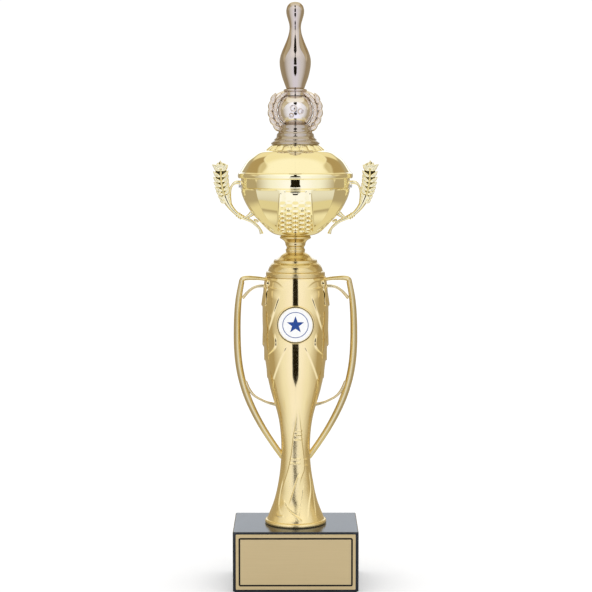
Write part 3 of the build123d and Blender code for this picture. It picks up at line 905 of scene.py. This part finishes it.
# ---- the figure
pedestal_low, pedestal_high = levels_of("riser_pedestal")
turned_piece(
    "riser_pedestal_turned",
    [
        (2.7, pedestal_low), (17.2, pedestal_low), (18.0, 331.3), (18.0, 332.0), (17.0, 333.2),
        (16.1, 333.7), (15.9, 334.5), (15.0, 335.6), (14.3, 336.4), (13.9, 337.3), (13.7, 338.2),
        (13.5, 338.9), (12.7, 339.9), (12.3, 340.8), (12.1, 341.6), (11.5, 342.8), (11.3, 343.8),
        (11.0, pedestal_high - 0.4),
        (10.2, pedestal_high), (7.3, pedestal_high), (6.6, 344.9), (2.7, 342.9), (2.7, pedestal_low),
    ],
    0.5, pedestal_nickel_painted_shade, LID, "riser_pedestal",
)

ball_low, ball_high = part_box("bowling_ball")
ball_radius = (ball_high.x - ball_low.x) / 2 / MM
ball_centre = ball_high.z / MM - ball_radius
# Finger holes: x, height over the ball's centre, radius.
FINGER_HOLES = [(-1.5, 1.6, 2.1), (3.9, -0.7, 1.9), (-2.9, -3.6, 1.5)]
HOLE_DEPTH = 2.6


def drilled_ball(rings=220, segments=220):
    """The ball about the Y axis, finest at its front, with three eased finger holes."""
    polar = math.pi * np.linspace(0, 1, rings) ** 1.25
    turn = np.linspace(0, 2 * math.pi, segments, endpoint=False)
    polar, turn = np.meshgrid(polar, turn, indexing="ij")
    x = ball_radius * np.sin(polar) * np.cos(turn)
    z = ball_radius * np.sin(polar) * np.sin(turn)
    y = -ball_radius * np.cos(polar)
    for hole_x, hole_z, radius in FINGER_HOLES:
        gap = np.hypot(x - hole_x, z - hole_z)
        y = y + np.where(polar < 1.2, HOLE_DEPTH * soft_step(radius - gap, 0.12), 0)
    return tube(np.stack([x, y, z + ball_centre], axis=-1))


piece("bowling_ball_drilled", drilled_ball(), ball_nickel_painted_light, LID, ["bowling_ball"], sharp=60)

seat_low, seat_high = levels_of("pin_seat")
turned_piece(
    "pin_seat_turned",
    [
        (2.7, seat_high), (7.2, seat_high), (8.3, 371.6), (8.75, 371.0), (8.5, 370.2), (7.0, 369.8),
        (6.6, 369.2), (6.8, 368.2), (7.4, seat_low - 0.5), (6.6, seat_low - 0.2), (2.7, 368.6),
        (2.7, seat_high),
    ],
    0.3, figure_nickel, LID, "pin_seat",
)

pin_low, pin_high = levels_of("bowling_pin")
PIN_OUTLINE = [
    (6.7, pin_low), (7.25, 373.5), (9.4, 379.4), (10.9, 385.2), (11.6, 391.1), (10.8, 397.0),
    (8.5, 402.8), (6.0, 408.7), (4.5, 414.0), (4.25, 417.6), (4.9, 421.0), (6.1, 425.0),
    (6.65, 429.1), (5.9, 432.4), (3.5, 434.9), (0.0, pin_high),
]
piece(
    "bowling_pin_turned",
    lathe(np.vstack([
        [(0, pin_low)],
        rounded([(0, pin_low), (6.6, pin_low), (6.9, pin_low + 0.8)], 0.4),
        spline(PIN_OUTLINE, 10)[8:],
    ])),
    figure_nickel, LID, ["bowling_pin"],
)

# Leaves of the wreath: distance from the ball's centre, first angle, step, count, width, half
# thickness, how far forward the row stands and how far its tips splay outward.
WREATH_ROWS = [(17.6, -56, 18, 5, 4.0, 1.9, 1.7, 1.9), (14.8, -60, 20, 6, 3.4, 1.6, 1.9, -0.2)]
# The wreath's stem: distance from the ball's centre and angle.
WREATH_STEM = [(15.2, -50), (16.4, -28), (16.8, 0), (16.4, 25), (15.2, 46), (14.3, 63)]


def round_ball(distance, angle):
    """The (x, z) point at a distance from the ball's centre and an angle above level."""
    return distance * math.cos(angle), ball_centre + distance * math.sin(angle)


def laurel_wreath():
    """The right-hand side of the wreath: overlapping rows of leaves that hug the ball."""
    parts = []
    for reach, first, step, count, width, thickness, front, splay in WREATH_ROWS:
        for i in range(count):
            start = math.radians(first + i * step)
            end = start + math.radians(1.5 * step)
            base, tip = round_ball(reach, start), round_ball(reach + splay, end)
            for side in (-1, 1):
                parts.append(leaf(base, tip, width, thickness, side * front, 0.075))
    arc = spline([round_ball(distance, math.radians(angle)) for distance, angle in WREATH_STEM], 8)
    parts.append(
        sweep(arc, ROUND_SECTION, [2.2, 2.8, 3.2, 3.0, 2.8, 2.4], [1.4, 1.6, 1.7, 1.7, 1.5, 1.3])
    )
    return joined(*parts)


piece_pair("wreath", "leaves", laurel_wreath(), wreath_nickel, LID)


# ---- base, plate and disc
plate_low, plate_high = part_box("nameplate")
plate_face = plate_low.y / MM
plate_middle = (plate_low.z + plate_high.z) / 2 / MM
FRAME_WIDTH, FRAME_HEIGHT, FRAME_LINE, FRAME_CORNER = 84.3, 36.4, 1.25, 1.4
PRINT_RISE = 0.03


def corner_loop(half_x, half_y, radius, middle=0.0):
    """A rounded rectangle as a loop of points; middle is the second coordinate of its centre."""
    loop = []
    for turn, (sx, sy) in enumerate(((1, 1), (-1, 1), (-1, -1), (1, -1))):
        for a in np.linspace(0, math.pi / 2, 6):
            angle = a + turn * math.pi / 2
            loop.append((
                sx * (half_x - radius) + radius * math.cos(angle),
                middle + sy * (half_y - radius) + radius * math.sin(angle),
            ))
    return np.array(loop)


def printed_frame():
    """The thin printed line near the plate's edge, as a closed flat ribbon."""
    outer, inner = (
        corner_loop(FRAME_WIDTH / 2 - inset, FRAME_HEIGHT / 2 - inset, FRAME_CORNER - inset, plate_middle)
        for inset in (0, FRAME_LINE)
    )
    rise = plate_face - PRINT_RISE
    return tube([
        upright(outer, plate_face), upright(outer, rise), upright(inner, rise), upright(inner, plate_face),
        upright(outer, plate_face),
    ])


piece("nameplate_border_line", printed_frame(), black_ink, TROPHY)


def star(points, outer, inner):
    """A flat printed star on the disc."""
    loop = []
    for i in range(2 * points):
        radius = outer if i % 2 == 0 else inner
        angle = math.pi / 2 + i * math.pi / points
        loop.append((radius * math.cos(angle), disc_centre + radius * math.sin(angle)))
    loop = np.array(loop)
    return tube([upright(loop, disc_face), upright(loop, print_face)], closed=True)


print_face = disc_face - PRINT_RISE
ring_line = front_disc([
    (9.6, disc_face), (9.6, print_face), (9.1, print_face), (9.1, disc_face), (9.6, disc_face),
])
piece(
    "medallion_star_print", joined(star(5, 6.6, 2.7), ring_line),
    blue_ink, TROPHY, sharp=20,
)

felt_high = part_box("felt_pad")[1]
FELT_CORNER = 2.0


def felt_sheet():
    """The felt under the stone, with soft worn edges."""
    half_x, half_y = felt_high.x / MM, felt_high.y / MM
    top = felt_high.z / MM
    levels = [(1.2, 0.0), (0.3, 0.0), (0.0, 0.4), (0.0, top - 0.4), (0.2, top), (1.2, top)]
    rings = []
    for inset, level in levels:
        loop = corner_loop(half_x - inset, half_y - inset, FELT_CORNER)
        rings.append(np.column_stack([loop, np.full(len(loop), level)]))
    return tube(rings, closed=True)


piece("felt_pad_soft", felt_sheet(), felt_cloth, TROPHY, ["felt_pad"])


# ---- floor, light and camera
def floor_material():
    """Plain pale floor that melts into the white background away from the trophy."""
    material, tree, shader = new_material(
        "pale_floor", Roughness=0.9, Specular_IOR_Level=0.1,
        Emission_Color=(1, 1, 1, 1), Emission_Strength=0.10,
    )
    tint(tree, shader, noise(tree, 60, 3.0), [(0.3, (0.93, 0.93, 0.93)), (0.7, (0.96, 0.96, 0.96))])
    return material


FLOOR_HALF = 3.0
floor_mesh = bpy.data.meshes.new("floor")
floor_corners = [(x * FLOOR_HALF, y * FLOOR_HALF, 0) for x, y in ((-1, -1), (1, -1), (1, 1), (-1, 1))]
floor_mesh.from_pydata(floor_corners, [], [(0, 1, 2, 3)])
floor_mesh.materials.append(floor_material())
floor = bpy.data.objects.new("floor", floor_mesh)
bpy.context.scene.collection.objects.link(floor)
floor.visible_glossy = False


# Panels of the light tent as mirrors see them: three angle windows, then a colour. Each window
# gives where the panel starts, is full, starts to fade and ends. The angles, in degrees, are the
# azimuth off the front, the elevation, and the tilt over the top from the front horizon.
ANY = (-999, -998, 998, 999)
TENT_PANELS = [
    (ANY, (-99, -98, -56, -48), ANY, (1.00, 0.96, 0.78)),
    ((122, 132, 998, 999), (-60, -50, -27, -22), ANY, (0.80, 0.72, 0.48)),
    ((40, 55, 998, 999), (-4, 8, 998, 999), (68, 72, 112, 140), (0.86, 0.80, 0.66)),
    ((50, 84, 100, 118), (0, 30, 54, 70), ANY, (0.68, 0.60, 0.42)),
    ((134, 144, 998, 999), (24, 30, 62, 70), ANY, (0.90, 0.82, 0.58)),
    ((-2, -1, 46, 102), (-60, -52, 56, 62), (-90, -80, 60, 64), (0.98, 1.02, 1.14)),
    ((-2, -1, 14, 52), (-60, -52, 8, 34), (-90, -80, 60, 64), (1.07, 1.12, 1.42)),
    ((-2, -1, 62, 118), (0, 30, 56, 62), (-90, -80, 60, 64), (0.98, 1.02, 1.14)),
    ((-2, -1, 22, 64), (4, 36, 56, 62), (-90, -80, 60, 64), (1.24, 1.28, 1.44)),
    ((54, 66, 998, 999), (-49, -46, -40, -36), ANY, (0.77, 0.71, 0.50)),
    ((104, 112, 136, 146), (16, 26, 50, 62), ANY, (0.45, 0.34, 0.18)),
    ((-2, -1, 998, 999), (46, 50, 998, 999), (56, 62, 158, 170), (1.05, 1.03, 0.96)),
    ((-2, -1, 998, 999), (46, 50, 998, 999), (78, 104, 158, 170), (0.94, 0.88, 0.68)),
    ((154, 160, 998, 999), (4, 7, 20, 26), ANY, (1.25, 1.32, 1.42)),
]
TENT_WALL = (0.47, 0.40, 0.28)
# The dark slit round the camera: elevation and half width in degrees, below WIDEST_SLIT.
WIDEST_SLIT = 20.0
SLIT_COLOUR = (0.014, 0.011, 0.006)
SLIT_HALF_WIDTHS = [
    (-31, 0.0), (-25.5, 12.3), (-14, 11.8), (-12.5, 11.0), (-12, 0.0), (-8.5, 0.0), (-8, 11.0),
    (-4, 10.5), (-1.5, 9.3), (9, 9.5), (16, 9.5), (22, 3.0), (34, 3.0), (40, 9.0), (46, 15.0),
    (57, 17.0), (58, 0.0),
]


def studio_world():
    """Light tent: white to the eye and to matt surfaces; mirrors see its panels and a dark slit."""
    world = bpy.data.worlds.new("studio")
    world.use_nodes = True
    tree = world.node_tree
    tree.nodes.clear()

    def maths(operation, *values):
        made = node(tree, "ShaderNodeMath", operation=operation)
        for socket, value in zip(made.inputs, values):
            if isinstance(value, (int, float)):
                socket.default_value = value
            else:
                tree.links.new(value, socket)
        return made.outputs[0]

    def step(value, low, high):
        made = node(
            tree, "ShaderNodeMapRange", interpolation_type="SMOOTHSTEP", From_Min=low, From_Max=high
        )
        tree.links.new(value, made.inputs["Value"])
        return made.outputs["Result"]

    def window(value, start, full, fade, end):
        opened = step(value, start, full)
        return maths("MULTIPLY", opened, maths("SUBTRACT", 1.0, step(value, fade, end)))

    def blend(factor, below, above):
        made = node(tree, "ShaderNodeMix", data_type="RGBA")
        tree.links.new(factor, made.inputs["Factor"])
        for socket, value in ((made.inputs[6], below), (made.inputs[7], above)):
            if isinstance(value, tuple):
                socket.default_value = (*value, 1)
            else:
                tree.links.new(value, socket)
        return made.outputs[2]

    parts = node(tree, "ShaderNodeSeparateXYZ")
    tree.links.new(node(tree, "ShaderNodeTexCoord").outputs["Generated"], parts.inputs["Vector"])
    x, y, z = parts.outputs
    side = maths("ABSOLUTE", x)
    ahead = maths("MULTIPLY", y, -1.0)
    azimuth = maths("DEGREES", maths("ARCTAN2", side, ahead))
    elevation = maths("DEGREES", maths("ARCSINE", z))
    tilt = maths("DEGREES", maths("ARCTAN2", z, ahead))
    room = TENT_WALL
    for azimuths, elevations, tilts, colour in TENT_PANELS:
        share = window(elevation, *elevations)
        if azimuths is not ANY:
            share = maths("MULTIPLY", share, window(azimuth, *azimuths))
        if tilts is not ANY:
            share = maths("MULTIPLY", share, window(tilt, *tilts))
        room = blend(share, room, colour)
    widths = ramp(
        tree, maths("MULTIPLY_ADD", elevation, 1 / 180, 0.5),
        [((e + 90) / 180, (w / WIDEST_SLIT,) * 3) for e, w in SLIT_HALF_WIDTHS],
    )
    inside = step(maths("SUBTRACT", maths("MULTIPLY", widths, WIDEST_SLIT), azimuth), -0.4, 0.6)
    room = blend(inside, room, SLIT_COLOUR)
    path = node(tree, "ShaderNodeLightPath")
    seen = blend(path.outputs["Is Glossy Ray"], (1.05, 1.05, 1.05), room)
    background = node(tree, "ShaderNodeBackground", Strength=1.0)
    output = node(tree, "ShaderNodeOutputWorld")
    tree.links.new(seen, background.inputs["Color"])
    tree.links.new(background.outputs["Background"], output.inputs["Surface"])
    bpy.context.scene.world = world


studio_world()

CAMERA_DISTANCE, CAMERA_HEIGHT, CAMERA_TILT, CAMERA_ROLL = 1.300, 0.335, 5.15, 0.05
camera_data = bpy.data.cameras.new("camera")
camera_data.sensor_width = 36.0
camera_data.lens = 106.1
camera = bpy.data.objects.new("camera", camera_data)
camera.location = (0.0005, -CAMERA_DISTANCE, CAMERA_HEIGHT)
camera.rotation_euler = (math.radians(90 - CAMERA_TILT), math.radians(CAMERA_ROLL), 0)
bpy.context.scene.collection.objects.link(camera)
bpy.context.scene.camera = camera
bpy.context.scene.view_settings.view_transform = "Standard"
